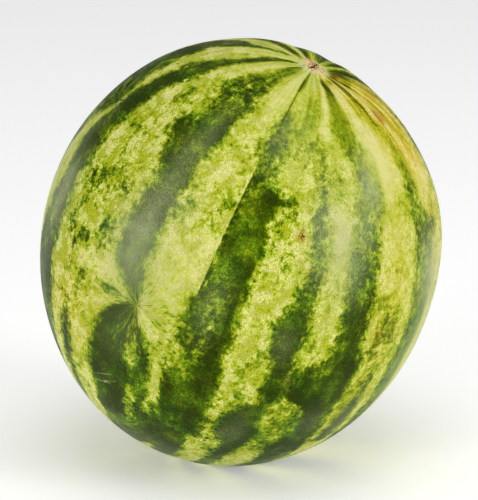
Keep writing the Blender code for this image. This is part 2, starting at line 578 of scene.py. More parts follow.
# Dark stripes, from the stem down: polar angle, left edge, right edge, and how dark, 0 to 1
STRIPES = {
    "left_limb": (
        (8, -119, -104, 0.6), (10, -113, -103, 0.7), (12, -108, -100, 0.75), (18, -105, -97, 0.9),
        (20, -109, -97, 0.9), (24, -115, -96, 0.9), (30, -114, -96, 0.9), (35, -112, -92, 0.95),
        (40, -111, -89, 0.9), (45, -110, -87, 0.85), (50, -108, -86, 0.85), (57, -106, -87, 0.9),
        (62, -106, -88, 0.9), (68, -106, -89.5, 0.9), (75, -107, -91, 0.85), (90, -108, -94, 0.9),
        (130, -104, -92, 0.9), (177, -108, -92, 0.8),
    ),
    "left": (
        (4.5, -90, -82, 0.5), (7, -86, -75, 0.9), (9, -83, -72, 0.95), (12, -80, -68, 0.95),
        (14, -79, -65.5, 0.95), (16, -77, -65, 0.95), (18, -75.5, -65, 0.9), (23, -76, -66, 0.9),
        (26, -78, -66.5, 0.95), (30, -78.5, -67, 0.9), (35, -80, -67, 0.92), (45, -81, -69, 0.95),
        (50, -82, -70, 0.95), (58, -83, -69, 0.95), (65, -83, -69, 0.92), (70, -82, -68.5, 0.85),
        (74, -80, -68.5, 0.75), (80, -78, -67, 0.72), (92, -80, -65.5, 0.78), (100, -82, -65.5, 0.85),
        (110, -80, -63, 0.9), (150, -76, -62, 0.9), (177, -74, -62, 0.8),
    ),
    "above_pucker": (
        (3.5, -58, -45, 0.35), (5, -52, -37, 0.55), (8, -49, -33, 0.58), (11, -46, -33, 0.58),
        (14, -44, -32, 0.60), (17, -43, -33, 0.64), (19, -46, -31, 0.66), (22, -52, -29, 0.66),
        (27, -53, -28, 0.66), (31, -52, -28, 0.70), (33, -46, -28, 0.78), (38, -44, -29.5, 0.85),
        (46, -45, -30, 0.82), (49, -47, -30, 0.80), (54, -46, -29.5, 0.80), (60, -42, -29.5, 0.80),
        (72, -41, -30, 0.78), (78, -41, -29.5, 0.78), (84, -39, -29, 0.80), (90, -34, -28.5, 0.82),
        (93.5, -29.5, -28, 0.85),
    ),
    "below_pucker": (
        (94.2, -31, -28, 0.88), (96, -35, -26, 0.88), (99, -38, -24, 0.87), (103, -39, -21.5, 0.87),
        (108, -40, -18.5, 0.88), (112, -40, -17, 0.98), (122, -39, -12, 1.0), (130, -38, -2, 1.0),
        (140, -37, -8, 1.0), (152, -38, -22, 0.9), (177, -36, -24, 0.8),
    ),
    "spike": (
        (3, -13, -3, 0.4), (6, -12.5, -4.5, 0.5), (12, -12, -5, 0.48), (15, -11.5, -6, 0.48),
        (16.5, -11, -8, 0.5), (17.5, -11, -9, 0.4),
    ),
    "front": (
        (27, -11, -7, 0.4), (30, -12.5, -3.5, 0.5), (38, -14, -2.5, 0.58), (43, -16, -4, 0.6),
        (47, -12, -5, 0.6), (50, -12, -3, 0.66), (53, -12, -1, 0.70), (56, -12, 0.5, 0.70),
        (59, -12, -0.5, 0.80), (62, -11.5, 0, 0.84), (67, -11.5, 1.5, 0.87), (72, -12, 0.5, 0.86),
        (75, -12.3, 0.5, 0.76), (82, -12.5, 1.5, 0.74), (86, -14, 1.5, 0.72), (95, -14, 0.5, 0.74),
        (101, -14.5, 2.0, 0.82), (106, -15, 2.0, 0.90), (110, -14.5, 1.5, 0.94), (113, -14, 1.5, 0.95),
        (118, -13.5, 4, 0.95), (124, -13, 1.5, 0.95), (140, -12, 1, 1.0), (155, -12, 0, 0.9),
        (177, -11, -2, 0.8),
    ),
    "front_core": (
        (48, -6, -3.5, 0.4), (52, -7, -1, 0.78), (56, -8, 0.5, 0.84), (60, -7, -1, 0.90),
        (65, -6.5, 0, 0.92), (71, -4.5, 0, 0.98), (84, -3.5, -0.5, 1.0), (98, -4, 0, 1.0),
        (106, -5, 1, 0.98), (124, -3, 3, 1.0), (130, -4, 0, 0.9),
    ),
    "right_of_front": (
        (44, 12, 17, 0.3), (53, 13, 20, 0.42), (60, 14, 21, 0.48), (66, 14, 21, 0.55),
        (71, 14, 21, 0.62), (75, 14, 20.5, 0.70), (79, 12, 20.5, 0.78), (83, 11, 21, 0.84),
        (87, 11, 20.5, 0.84), (90, 12, 19.5, 0.84), (94, 14, 20.5, 0.92), (104, 14.5, 21, 0.95),
        (107, 13.5, 19, 0.95), (110, 11, 18.5, 0.85), (113, 9, 18.5, 0.80), (117, 6, 20, 0.80),
        (122, 8, 20, 0.82), (126, 12, 19.5, 0.86), (135, 12, 19, 0.9), (152, 12, 21, 0.9),
        (177, 14, 22, 0.8),
    ),
    "right": (
        (7, 14, 27, 0.3), (9, 14.5, 27, 0.62), (10.5, 16, 29, 0.9), (12, 19.5, 30, 0.85),
        (13.5, 23, 31.5, 0.75), (15.5, 21, 32, 0.34), (20, 20, 33.5, 0.29), (25, 18, 36.5, 0.32),
        (30, 17, 38.5, 0.34), (33, 22, 40.5, 0.34), (38, 29, 43.5, 0.38), (45, 31, 44.5, 0.42),
        (50, 30, 42.5, 0.5), (56, 29, 41, 0.6), (62, 29, 40.5, 0.64), (70, 29, 40, 0.68),
        (75, 29, 40, 0.76), (80, 30, 40, 0.81), (85, 30, 40, 0.84), (90, 30, 40, 0.87),
        (92, 27, 41, 0.76), (94.5, 19, 41.5, 0.72), (101, 18, 41, 0.76), (104, 23, 41, 0.86),
        (105, 28, 40.5, 0.95), (108, 31, 41, 0.88), (112, 32, 41.5, 0.85), (116, 33, 42, 0.85),
        (119, 31, 42, 0.88), (124, 29, 43, 0.9), (135, 31, 44, 0.9), (152, 33, 46, 0.9),
        (177, 36, 46, 0.8),
    ),
    "right_core": (
        (84, 32, 38, 0.5), (92, 32, 41, 1.0), (103, 29, 41, 1.0), (108, 32, 40, 0.9),
        (112, 33, 40, 0.6),
    ),
    "right_limb": (
        (36, 60, 68, 0.16), (44, 59, 68, 0.32), (52, 59, 69, 0.44), (55, 59, 78, 0.54),
        (59, 59, 80, 0.56), (62, 59, 72, 0.52), (68, 59.5, 71, 0.48), (74, 58.5, 72, 0.54),
        (82, 58, 70, 0.60), (92, 57, 66, 0.60), (104, 57, 66, 0.60), (114, 56, 65, 0.7),
        (130, 56, 74, 0.85), (177, 54, 66, 0.8),
    ),
    "right_thread": (
        (91, 48.5, 50, 0.2), (95, 48, 50.5, 0.55), (104, 47.5, 50.5, 0.6), (112, 47, 52, 0.6),
        (122, 46, 52, 0.7),
    ),
    "thin_left": (
        (106, -55, -52, 0.4), (111, -56, -51, 0.7), (124, -56, -50, 0.9), (146, -54, -50, 0.8),
    ),
}

# Stripes on the far side follow one rule: the longitude of the middle, and the half-width
FAR_STRIPES = ((101, 5), (124, 6), (148, 4), (171, 7), (-165, 5), (-140, 6))
FAR_STRIPE_POLARS = (4, 9, 16, 30, 48, 66, 84, 102, 120, 138, 156, 177)

# Soft blotches, as polar angle, longitude, half-height, half-width and change
GREEN_BLOTCHES = (
    (33, 2, 8, 11, 0.17), (20, 4, 4.5, 6, 0.20), (27, 5, 3, 5, 0.10), (40, 8, 6, 9, 0.10),
    (29, 13, 2.5, 4, -0.16), (43, 15, 5, 4, 0.14), (44, 23, 4, 4, 0.12), (36, 17, 3, 3, 0.08),
    (64, -26, 5, 3.5, 0.28), (14, -29, 9, 2.5, 0.12), (30, -25, 3, 2, 0.25), (47, -48, 4, 3, 0.3),
    # the wide blotch at polar 125 adds a little green over the whole lower fruit: painted shade for its
    # less lit underside
    (75, -55, 28, 12, 0.07), (85, 7, 24, 5, 0.08), (125, -10, 26, 60, 0.03), (58, -20, 20, 8, 0.03),
    (24, 32.5, 7, 2.5, 0.04), (116, 25, 12, 7, 0.38), (113, 30, 5, 2.5, 0.25), (122, 19.5, 5, 1.5, 0.2),
    (104, 24, 3, 6, 0.10), (112, 7, 8, 5, 0.14), (106, 46, 18, 7, 0.24), (84, 25, 12, 3, 0.12),
    (70, 49, 14, 6, 0.04), (52, -57, 24, 8, 0.03), (7, 26, 1.5, 4, 0.15), (7.5, 42, 1.4, 6, 0.44),
    (15, 44, 5, 1.6, 0.10), (20, 48, 3.5, 2.2, 0.30), (8, 57, 2.5, 5, 0.42), (14, 56, 5, 2.6, 0.40),
    (20, 58, 3.5, 2.4, 0.32), (26, 60, 4, 2.4, 0.12), (6.4, 86, 1.2, 15, 0.55),
    (10.5, 80, 1.6, 9, 0.44), (8.5, 111, 2.2, 8, 0.45), (7, 96, 3.2, 24, 0.20), (8, 35, 2.2, 7, 0.30),
    (22.5, 81, 2.5, 2.5, 0.22), (31, 87, 6, 7, 0.14), (50, 78, 3, 8, 0.16), (40, 91, 6, 5, 0.14),
    (33, 48, 11, 8, -0.22), (36, 55, 7, 4.5, -0.20), (43, 80, 9, 9, -0.18), (16, 76, 4, 9, 0.02),
    (33, 65, 9, 4.5, 0.30), (44, 62.5, 6, 4, 0.08), (13, 142, 7, 42, 0.26), (25, 57, 4, 3, 0.10),
    (98, -48, 6, 3, 0.15), (26, -57, 4, 4, -0.06), (41, -59, 4, 3, 0.32), (46, -47, 3, 3, 0.15),
    (34, -63, 4, 4, 0.18), (86, -55, 2.2, 6, 0.40), (82, -46, 4, 3.5, 0.36), (68, -48, 2, 2, 0.3),
    (70, -63, 4, 4, 0.20), (73, -56, 2.5, 7, 0.22), (43, -24, 1.5, 8, 0.2), (46, -18, 4, 5, 0.12),
    (91, -56, 4, 1.5, 0.24), (96, -52, 3.5, 1.8, 0.20), (104, -54, 1.0, 8, 0.14),
    (106, -18.5, 4, 2, 0.16), (79, -61, 3, 3, 0.22), (93.5, -39, 1.3, 5, 0.5), (99, -17, 4, 3, 0.14),
    (95, -19, 2, 3, 0.14), (52, 3.2, 3.5, 3.2, 0.42), (55, -1.5, 5, 3, 0.14), (61, 1.8, 5, 2.2, 0.28),
    (62, -17, 5, 3, 0.15), (88, -13, 6, 3, 0.12), (112, 6, 8, 4, 0.10), (95, 9, 3.5, 2.2, 0.24),
    (104, 10, 3, 2.5, 0.16), (88, 11, 4, 2, 0.16), (125, 7, 6, 5, 0.16), (66, 8, 6, 3, 0.15),
    (80, 48, 3.5, 3, 0.40), (85.5, 45.5, 2.5, 2.5, 0.50), (83, 50, 2.5, 2.5, 0.26),
    (47, 54, 5, 4, 0.14), (91, 42, 5, 2.5, 0.14), (86, 55, 8, 3, 0.10), (98, 23, 5, 5, -0.08),
    (107.5, -25, 4, 3, -0.58), (123, -22.8, 6.5, 2.8, -0.62), (119.5, -16, 7, 2.6, -0.46),
    (109, -15.5, 5, 1.5, -0.3), (98, -26, 5, 1.2, -0.24), (120, -19.6, 5, 0.8, 0.20),
    (97, -6, 2, 1.6, -0.24), (101, -11.5, 3, 2.2, -0.24), (96, -12, 4, 2, -0.10),
    (105, -8, 4, 3, -0.10), (16, -18, 14, 9, -0.06), (12, 12, 3, 4, -0.08), (20, 15, 4, 3, -0.14),
    (134, -21, 5, 4, -0.3), (130, -10, 8, 10, -0.1), (88, -8, 10, 3, -0.10), (27, -29, 3, 2.5, -0.22),
)
MOTTLE_BLOTCHES = (
    (32, 6, 14, 16, -0.30), (22, 27, 12, 10, -0.85), (42, 37, 10, 7, -0.4), (26, 2, 9, 8, -0.5),
    (16, -18, 16, 9, -0.85), (33, 49, 13, 10, -0.9), (52, 48, 12, 7, -0.35), (12, 0, 8, 12, -0.6),
    (18, -59, 14, 7, -0.6), (84, -21, 12, 7, -0.75), (60, -56, 25, 12, 0.45), (100, -57, 20, 10, 0.35),
    (80, 7, 30, 5, 0.05), (118, 24, 14, 8, -0.30), (62, 5, 10, 6, 0.35), (34, 78, 16, 14, -0.5),
    (58, 26, 12, 6, -0.5), (90, 68, 30, 12, -0.8), (108, 47, 14, 6, -0.45), (80, -84, 14, 8, -0.5),
    (66, 52, 12, 5, -0.2), (28, -40, 7, 10, 0.5), (100, -36, 12, 8, -0.4), (84, -36, 14, 6, -0.6),
    (125, 5, 8, 8, 0.4),
)
# Pale waxy bloom plus painted sheen: these blotches also lay the pale veils of the softboxes' highlights
# and the floor's reflection on the dark stripes and the limbs. Polar angle, longitude, half-height,
# half-width and amount.
BLOOM_AND_SHEEN_BLOTCHES = (
    (35, -8, 9, 5, 0.20), (34, 4, 9, 9, 0.14), (43, 37, 9, 6, 0.60), (57, 34, 9, 4.5, 0.20),
    (57, 24, 13, 7, 0.38), (55, 16, 11, 5, 0.28), (66, 28, 9, 6, 0.26), (52, -35, 14, 5, 0.20),
    (76, -36, 13, 8, 0.58), (86, -30, 9, 9, 0.14), (104, -31, 8, 8, 0.11), (64, -26, 5, 4, 0.2),
    (80, -73, 8, 6, 0.48), (89, -73, 8, 8, 0.30), (70, -80, 8, 3, 0.14), (102, -72, 8, 7, 0.10),
    (68, 71, 9, 8, 0.60), (84, 74, 14, 8, 0.40), (98, 64, 12, 6, 0.22), (24, -104, 10, 8, 0.08),
    (112, 36, 6, 5, 0.12), (120, 13, 8, 5, 0.14), (144, -5, 7, 50, 0.14), (84, -8, 9, 4, 0.14),
    (88, 15, 6, 4, 0.10), (112, 50, 10, 4, 0.20), (80, -88, 14, 6, 0.30),
)
BRUISE_BLOTCHES = (
    (23.2, 70.5, 2.2, 4.0, 2.0), (24.5, 75, 1.6, 6, 0.4), (18, 98, 3, 12, 0.35), (8.5, 33, 2, 8, 0.5),
    (7.5, 68, 1.6, 8, 0.2), (7, 90, 1.5, 14, 0.35), (59.3, 10.6, 1.6, 1.6, 0.6), (83, 45, 4, 3, 0.20),
    (82, 53, 3, 2, 0.22),
)
YELLOW_BLOTCHES = (
    (16, 82, 16, 27, 1.5), (34, 78, 16, 20, 0.66), (44, 64, 14, 5, -0.22), (12, 44, 9, 14, 0.8),
    (20, 33, 9, 5, 0.2), (12, 12, 6, 8, 0.15), (60, 78, 20, 12, 0.35), (80, 48, 22, 6, 0.34),
    (108, 46, 14, 6, 0.28), (107, -52, 12, 12, 0.38), (60, 50, 14, 8, 0.14),
)

EDGE_SOFTNESS = 3.2  # millimetres on either side of a stripe's edge
CRISP_POLAR = 30  # edges are crisper, and the skin less mottled, nearer the stem than this
PALE_LEVEL = 0.2
DARK_LEVEL = 0.92
SUNNED_FADE = 0.55  # how much of its green a stripe loses where the sun yellowed it
SUNNED_LONGITUDE = 68  # that loss grows from here
SUNNED_RISE = 10  # over this many degrees
FAR_DARKNESS = 0.9
FAR_FADE_POLAR = 9  # the far stripes fade out nearer the stem than this
FAR_TIP_WIDTH = 0.3  # and narrow to this share at the stem


def far_stripes():
    """Stripes of the far side, with edges that wander by a seeded draw."""
    draw = np.random.default_rng(11)
    polars = np.array(FAR_STRIPE_POLARS)
    for middle, half_width in FAR_STRIPES:
        drift = np.cumsum(draw.normal(0, 1.0, len(polars)))
        drift -= drift.mean()
        widths = half_width * draw.uniform(0.7, 1.25, (2, len(polars)))
        widths[:, 0] *= FAR_TIP_WIDTH
        lefts, rights = middle + drift - widths[0], middle + drift + widths[1]
        tones = FAR_DARKNESS * np.clip(polars / FAR_FADE_POLAR, 0.0, 1.0)
        yield np.column_stack((polars, lefts, rights, tones))


def wrapped(degrees):
    return (degrees + 180.0) % 360.0 - 180.0


def blotched(polar, longitude, base, blotches, low=0.0, high=1.0):
    """A level with soft blotches added to it, kept between two limits."""
    level = np.full(len(polar), base, dtype=float)
    for at, along, half_height, half_width, change in blotches:
        away = np.hypot((polar - at) / half_height, wrapped(longitude - along) / half_width)
        level += change * np.exp(-(away**2))
    return np.clip(level, low, high)


def stripe_darkness(polar, longitude):
    """1 inside a dark stripe and 0 outside, softened over each edge."""
    polar_step = math.radians(1) * HALF_LENGTH * 1000
    longitude_step = math.radians(1) * HALF_WIDTH * 1000 * np.sin(np.radians(polar))
    softness = EDGE_SOFTNESS * np.clip(polar / CRISP_POLAR, 0.15, 1.0)
    near_stem = np.clip(0.72 + 0.28 * polar / 14.0, 0.0, 1.0)
    dark = np.zeros(len(polar))
    for knots in [np.array(stripe) for stripe in STRIPES.values()] + list(far_stripes()):
        lefts = np.interp(polar, knots[:, 0], knots[:, 1])
        rights = np.interp(polar, knots[:, 0], knots[:, 2])
        tones = np.interp(polar, knots[:, 0], knots[:, 3]) * near_stem
        inside = np.minimum(wrapped(longitude - lefts), wrapped(rights - longitude)) * longitude_step
        past_end = np.maximum(knots[0, 0] - polar, polar - knots[-1, 0]) * polar_step
        rise = np.clip(0.5 + 0.5 * np.minimum(inside, -past_end) / softness, 0.0, 1.0)
        dark = np.maximum(dark, tones * rise)
    return dark


def mark_rind(mesh):
    """Work out the broad markings on the skin's points, and store each under its name."""
    ways = np.zeros(len(mesh.vertices) * 3, dtype=np.float32)
    mesh.attributes["direction"].data.foreach_get("vector", ways)
    ways = ways.reshape(-1, 3)
    polar = np.degrees(np.arccos(np.clip(ways[:, 2], -1.0, 1.0)))
    longitude = np.degrees(np.arctan2(ways[:, 1], ways[:, 0]))
    yellow = blotched(polar, longitude, 0, YELLOW_BLOTCHES)
    sunned = np.clip((wrapped(longitude) - SUNNED_LONGITUDE) / SUNNED_RISE, 0.0, 1.0)
    dark = stripe_darkness(polar, longitude)
    green = PALE_LEVEL + (DARK_LEVEL - PALE_LEVEL) * dark * (1.0 - sunned * yellow * SUNNED_FADE)
    crispness = np.clip(polar / CRISP_POLAR, 0.2, 1.0)
    layers = {
        "green": blotched(polar, longitude, green, GREEN_BLOTCHES, high=1.1),
        "mottle": blotched(polar, longitude, 1, MOTTLE_BLOTCHES, low=0.1, high=1.6) * crispness,
        # waxy bloom together with painted sheen from the lights and the floor
        "bloom_and_sheen": blotched(polar, longitude, 0, BLOOM_AND_SHEEN_BLOTCHES),
        "yellow": yellow,
        "bruise": blotched(polar, longitude, 0, BRUISE_BLOTCHES),
    }
    for name, values in layers.items():
        layer = mesh.attributes.new(name, "FLOAT", "POINT")
        layer.data.foreach_set("value", values.astype(np.float32))


# ---- materials


def new_material(name):
    material = bpy.data.materials.new(name)
    material.use_nodes = True
    return material, material.node_tree, material.node_tree.nodes["Principled BSDF"]


def colour_ramp(tree, value, stops):
    """Colours by level, given as (level, (red, green, blue))."""
    node = add(tree, "ShaderNodeValToRGB", {0: value})
    ramp = node.color_ramp
    while len(ramp.elements) < len(stops):
        ramp.elements.new(0.5)
    for element, (level, colour) in zip(ramp.elements, stops):
        element.position = level
        element.color = (*colour, 1.0)
    return Arrow(tree, node.outputs["Color"])


def blend(tree, amount, first, second):
    """From the first colour to the second by an amount from 0 to 1."""
    pair = [colour if isinstance(colour, Wire) else (*colour, 1.0) for colour in (first, second)]
    feeds = {"Factor": amount, 6: pair[0], 7: pair[1]}
    node = add(tree, "ShaderNodeMix", feeds, data_type="RGBA", clamp_factor=True)
    return Arrow(tree, node.outputs[2])


def attribute(tree, name):
    return Number(tree, add(tree, "ShaderNodeAttribute", attribute_name=name).outputs["Fac"])


PULL_IN = 0.012  # how much skin a pucker has drawn in
PULL_REACH = 0.012
RAY_REACH = 0.021
RAY_CORE = 0.0022  # the rays merge within this of the middle


def drawn_in_group():
    """Skin coordinates in metres, drawn in to the puckers, and the rays that run into them."""
    inputs = {"Direction": (VECTOR, None)}
    outputs = {"Skin": VECTOR, "Rays": FLOAT, "Nearness": FLOAT}
    tree, given, result = new_tree("Drawn In Skin", "ShaderNodeTree", inputs, outputs)
    way = given["Direction"]
    skin = way.scaled(HALF_WIDTH)
    rays, nearness = [], []
    for polar, longitude, *_ in PUCKERS:
        middle = direction(polar, longitude)
        outward = (way - arrow(tree, *middle).scaled(way.dot(middle))).unit()
        reach = angle_from(way, polar, longitude) * HALF_WIDTH
        near = (-(reach / PULL_REACH)).calc("EXPONENT")
        skin = skin + outward.scaled(near * PULL_IN)
        nearness.append(near)
        spokes = outward.scaled(0.01) + way.scaled(0.02)
        fade = (1.0 - bell(reach, RAY_CORE)) * (-(reach / RAY_REACH)).calc("EXPONENT")
        ray = noise(tree, spokes, 0.0021, 3.0, 0.7) + noise(tree, spokes, 0.0007, 2.0, 0.6)
        rays.append(ray * fade)
    feed(tree, skin, result["Skin"])
    feed(tree, sum(rays[1:], rays[0]), result["Rays"])
    feed(tree, sum(nearness[1:], nearness[0]), result["Nearness"])
    return tree


STREAK_WIDTH = 0.11  # radians of longitude
STREAK_FADE = 0.55  # radians from the stem


def streaks_group():
    """Fine streaks that run out from the stem and fade."""
    inputs = {"Direction": (VECTOR, None)}
    outputs = {"Streaks": FLOAT, "Fade": FLOAT}
    tree, given, result = new_tree("Stem Streaks", "ShaderNodeTree", inputs, outputs)
    x, y, z = given["Direction"].parts()
    polar = z.calc("ARCCOSINE")
    where = arrow(tree, x, y, 0.0).unit() + arrow(tree, 0.0, 0.0, polar * 0.12)
    fade = bell(polar, STREAK_FADE)
    feed(tree, noise(tree, where, STREAK_WIDTH, 3.0, 0.65) * fade, result["Streaks"])
    feed(tree, fade, result["Fade"])
    return tree


def cork_specks_group():
    """Where small corky specks lie: a scatter of pits and crumbs, 0 to 1."""
    inputs = {"Place": (VECTOR, None), "Size": (FLOAT, 0.0012), "Cover": (FLOAT, 0.3)}
    tree, given, result = new_tree("Cork Specks", "ShaderNodeTree", inputs, {"Specks": FLOAT})
    level = noise(tree, given["Place"], given["Size"], 2.0, 0.7) + given["Cover"]
    feed(tree, level.step(0.16, 0.26), result["Specks"])
    return tree


DRAWN_IN = drawn_in_group()
STREAKS = streaks_group()
SPECKS = cork_specks_group()


RIND_COLOURS = (
    (0.00, (0.71, 0.69, 0.27)),
    (0.20, (0.61, 0.62, 0.150)),
    (0.27, (0.52, 0.575, 0.080)),
    (0.36, (0.41, 0.475, 0.020)),
    (0.43, (0.275, 0.365, 0.009)),
    (0.55, (0.165, 0.255, 0.005)),
    (0.66, (0.085, 0.150, 0.003)),
    (0.80, (0.043, 0.080, 0.002)),
    (1.00, (0.022, 0.040, 0.001)),
)
SUNNED_COLOURS = (
    (0.00, (0.78, 0.70, 0.30)),
    (0.12, (0.69, 0.57, 0.11)),
    (0.22, (0.61, 0.475, 0.028)),
    (0.34, (0.50, 0.415, 0.006)),
    (0.48, (0.34, 0.345, 0.004)),
    (0.64, (0.15, 0.16, 0.002)),
    (1.00, (0.05, 0.05, 0.001)),
)
FRESH_COLOUR = (0.37, 0.42, 0.010)
# pale grey-green of waxy bloom, also used as painted sheen
BLOOM_AND_SHEEN_COLOUR = (0.40, 0.44, 0.23)
OLIVE_TINT = (1.10, 0.98, 0.9)
EMERALD_TINT = (0.84, 1.04, 1.1)
FLECK_COLOUR = (0.20, 0.19, 0.02)
MARGIN_COLOUR = (0.72, 0.71, 0.44)
MARGIN_REACH = 0.0080  # from the stem to the middle of the pale margin round its scar
MARGIN_SPREAD = 0.0022
BRUISE_COLOUR = (0.44, 0.21, 0.0)
SCAB_COLOUR = (0.060, 0.026, 0.006)
SCAB_CREST_COLOUR = (0.34, 0.24, 0.08)
SCRATCH_COLOUR = (0.50, 0.50, 0.20)
GLOSS_TINT = (1.0, 1.0, 0.25, 1.0)
GLOSS_LEVEL = 0.06

# Cloudy patterns of the skin: size, detail, roughness, and a shift that keeps each one apart
PATTERNS = {
    "cloud": (0.020, 2.0, 0.5, (0.0, 0.0, 0.0)),
    "lace": (0.0075, 5.0, 0.64, (0.0, 0.0, 0.0)),
    "crumbs": (0.0026, 3.0, 0.65, (0.3, 0.1, 0.2)),
    "grain": (0.0011, 2.0, 0.7, (0.1, 0.5, 0.4)),
    "haze": (0.012, 4.0, 0.6, (0.7, 0.2, 0.9)),
    "hairs": (0.0055, 3.0, 0.6, (0.4, 0.9, 0.2)),
    "dots": (0.0010, 1.0, 0.5, (0.9, 0.4, 0.6)),
    "fresh": (0.009, 4.0, 0.6, (0.6, 0.1, 0.7)),
    "tint": (0.016, 3.0, 0.6, (0.5, 0.8, 0.3)),
    "flecks": (0.0016, 2.0, 0.6, (0.2, 0.6, 0.9)),
    "stipple": (0.0007, 2.0, 0.7, (0.8, 0.3, 0.1)),
}

# Dry scabs: polar angle, longitude, reach
SCABS = ((59.3, 10.7, 0.0042), (98.2, 20.7, 0.0055))

# Where fine lines start and end, as polar angle and longitude, and how wide they are
CREASE = ((44, -11.8), (85, -12.6))
CREASE_WIDTH = 0.00025
SPIKE = ((10, -10.5), (33, -10.4))
SPIKE_WIDTH = 0.0005
SCRATCHES = (
    ((124.5, -38.5), (119, -28)),
    ((121, -37), (117, -29)),
    ((123.5, -36), (121, -30)),
)
SCRATCH_WIDTH = 0.00028


class RindMarks:
    """What the rind's looks are made of: its directions, its stored markings and its mottling."""

    def __init__(self, tree):
        self.tree = tree
        stored = add(tree, "ShaderNodeAttribute", attribute_name="direction")
        self.way = Arrow(tree, stored.outputs["Vector"])
        drawn = add(tree, "ShaderNodeGroup", {"Direction": self.way}, node_tree=DRAWN_IN).outputs
        self.skin = Arrow(tree, drawn["Skin"])
        self.rays = Number(tree, drawn["Rays"])
        self.pinched = Number(tree, drawn["Nearness"])
        streaked = add(tree, "ShaderNodeGroup", {"Direction": self.way}, node_tree=STREAKS).outputs
        self.streaks = Number(tree, streaked["Streaks"])
        self.streak_fade = Number(tree, streaked["Fade"])
        self.green = attribute(tree, "green")
        self.mottle = attribute(tree, "mottle")
        self.yellow = attribute(tree, "yellow")
        self.inside = self.green.step(0.60, 0.92)
        self.cloud = self.pattern("cloud")
        self.lace = self.pattern("lace", 0.35)
        self.crumbs = self.pattern("crumbs")
        self.grain = self.pattern("grain")
        self.haze = self.pattern("haze")
        self.crease_side, self.crease, self.near_crease = self.line(*CREASE, CREASE_WIDTH)

    def pattern(self, name, distortion=0.0):
        size, detail, roughness, shift = PATTERNS[name]
        return noise(self.tree, self.skin + shift, size, detail, roughness, distortion)

    def line(self, start, end, width):
        """How far each place is on one side of a line between two places, and a mask of the line."""
        start, end = direction(*start), direction(*end)
        middle = (start + end).normalized()
        side = self.way.dot(start.cross(end).normalized()) * HALF_WIDTH
        half = start.angle(end) / 2.0
        near = 1.0 - self.way.dot(middle).calc("ARCCOSINE").step(half * 0.75, half)
        return side, bell(side, width) * near, near


def rind_level(rind):
    """How green each place is, from 0 for cream to 1 for the darkest green."""
    pale = (rind.cloud * 0.6 + rind.lace * 1.15 + rind.crumbs * 0.85) * rind.mottle
    dark = rind.cloud * 1.2 + rind.lace * 0.8 + rind.crumbs * 0.5
    edge = rind.green.step(0.24, 0.42) * (1.0 - rind.green.step(0.62, 0.84))
    mottling = pale * (1.0 - rind.inside) + dark * rind.inside
    mottling = mottling + (rind.lace + rind.crumbs) * edge * 0.5 * rind.mottle
    dots = rind.pattern("dots").step(0.06, 0.20)
    streaking = rind.streaks * (rind.yellow * 2.2 + 1.2) + rind.yellow * 0.05
    level = rind.green + mottling + rind.rays * 2.3 + streaking + rind.grain * 0.35 - dots * 0.08

    side = rind.crease_side
    crisp = (side.step(-0.0004, 0.0004) - side.step(-0.003, 0.003)) * rind.near_crease * 0.7
    level = level + crisp * rind.green.step(0.2, 0.35)
    _, spike, _ = rind.line(*SPIKE, SPIKE_WIDTH)
    hairs = rind.pattern("hairs").calc("ABSOLUTE").step(0.0, 0.022)
    hairs = (1.0 - hairs) * rind.crumbs.step(-0.05, 0.12)
    level = level + spike * 0.42 + hairs * (0.10 - rind.inside * 0.24)
    return level.calc("MAXIMUM", rind.mottle * 0.10 + rind.lace * 0.15)


def skin_colour(rind, level):
    """Cream to dark green by level, with fresh, olive and emerald patches, the sunned side, and pale wax
    that also carries painted sheen.
    """
    tree = rind.tree
    colour = colour_ramp(tree, level, RIND_COLOURS)
    fresh = rind.pattern("fresh").step(-0.01, 0.09)
    fresh = fresh * (1.0 - level.step(0.36, 0.60)) * rind.mottle
    colour = blend(tree, fresh * 0.7, colour, FRESH_COLOUR)
    tint = rind.pattern("tint").step(-0.16, 0.16) - rind.streak_fade
    tinted = blend(tree, tint, colour * OLIVE_TINT, colour * EMERALD_TINT)
    colour = blend(tree, level.step(0.36, 0.56), colour, tinted)
    flecks = rind.pattern("flecks").step(0.15, 0.24)
    colour = blend(tree, flecks * 0.35 * rind.mottle, colour, FLECK_COLOUR)
    sunned = rind.yellow + rind.streaks * 1.5 + rind.cloud * 0.8 * rind.yellow
    colour = blend(tree, sunned, colour, colour_ramp(tree, level, SUNNED_COLOURS))
    margin = bell(angle_from(rind.way, 0, 0) * HALF_WIDTH - MARGIN_REACH, MARGIN_SPREAD)
    colour = blend(tree, margin * (rind.streaks * 2.0 + 0.40), colour, MARGIN_COLOUR)
    # waxy bloom, with painted sheen where the lights' highlights and the floor's reflection fall
    colour = blend(tree, attribute(tree, "bloom_and_sheen") * (rind.haze * 1.6 + 1.0), colour, BLOOM_AND_SHEEN_COLOUR)
    bruise = attribute(tree, "bruise") * (rind.streaks * 3.0 + 1.0)
    return blend(tree, bruise, colour, BRUISE_COLOUR)


def scab_masks(rind):
    """The crumbs of the dry scabs, and how near each place is to a scab."""
    patches = [bell(angle_from(rind.way, *place) * HALF_WIDTH, reach) for *place, reach in SCABS]
    near = sum(patches[1:], patches[0])
    feeds = {"Place": rind.skin, "Cover": near * 0.30 - 0.08}
    specks = add(rind.tree, "ShaderNodeGroup", feeds, node_tree=SPECKS)
    return Number(rind.tree, specks.outputs["Specks"]), near


def scratched(rind, colour):
    """The colour with its fine pale scratches and the crease drawn in."""
    for start, end in SCRATCHES:
        _, scratch, _ = rind.line(start, end, SCRATCH_WIDTH)
        colour = blend(rind.tree, scratch * (rind.crumbs * 3.0 + 0.5), colour, SCRATCH_COLOUR)
    return blend(rind.tree, rind.crease * 0.16, colour, SCRATCH_COLOUR)


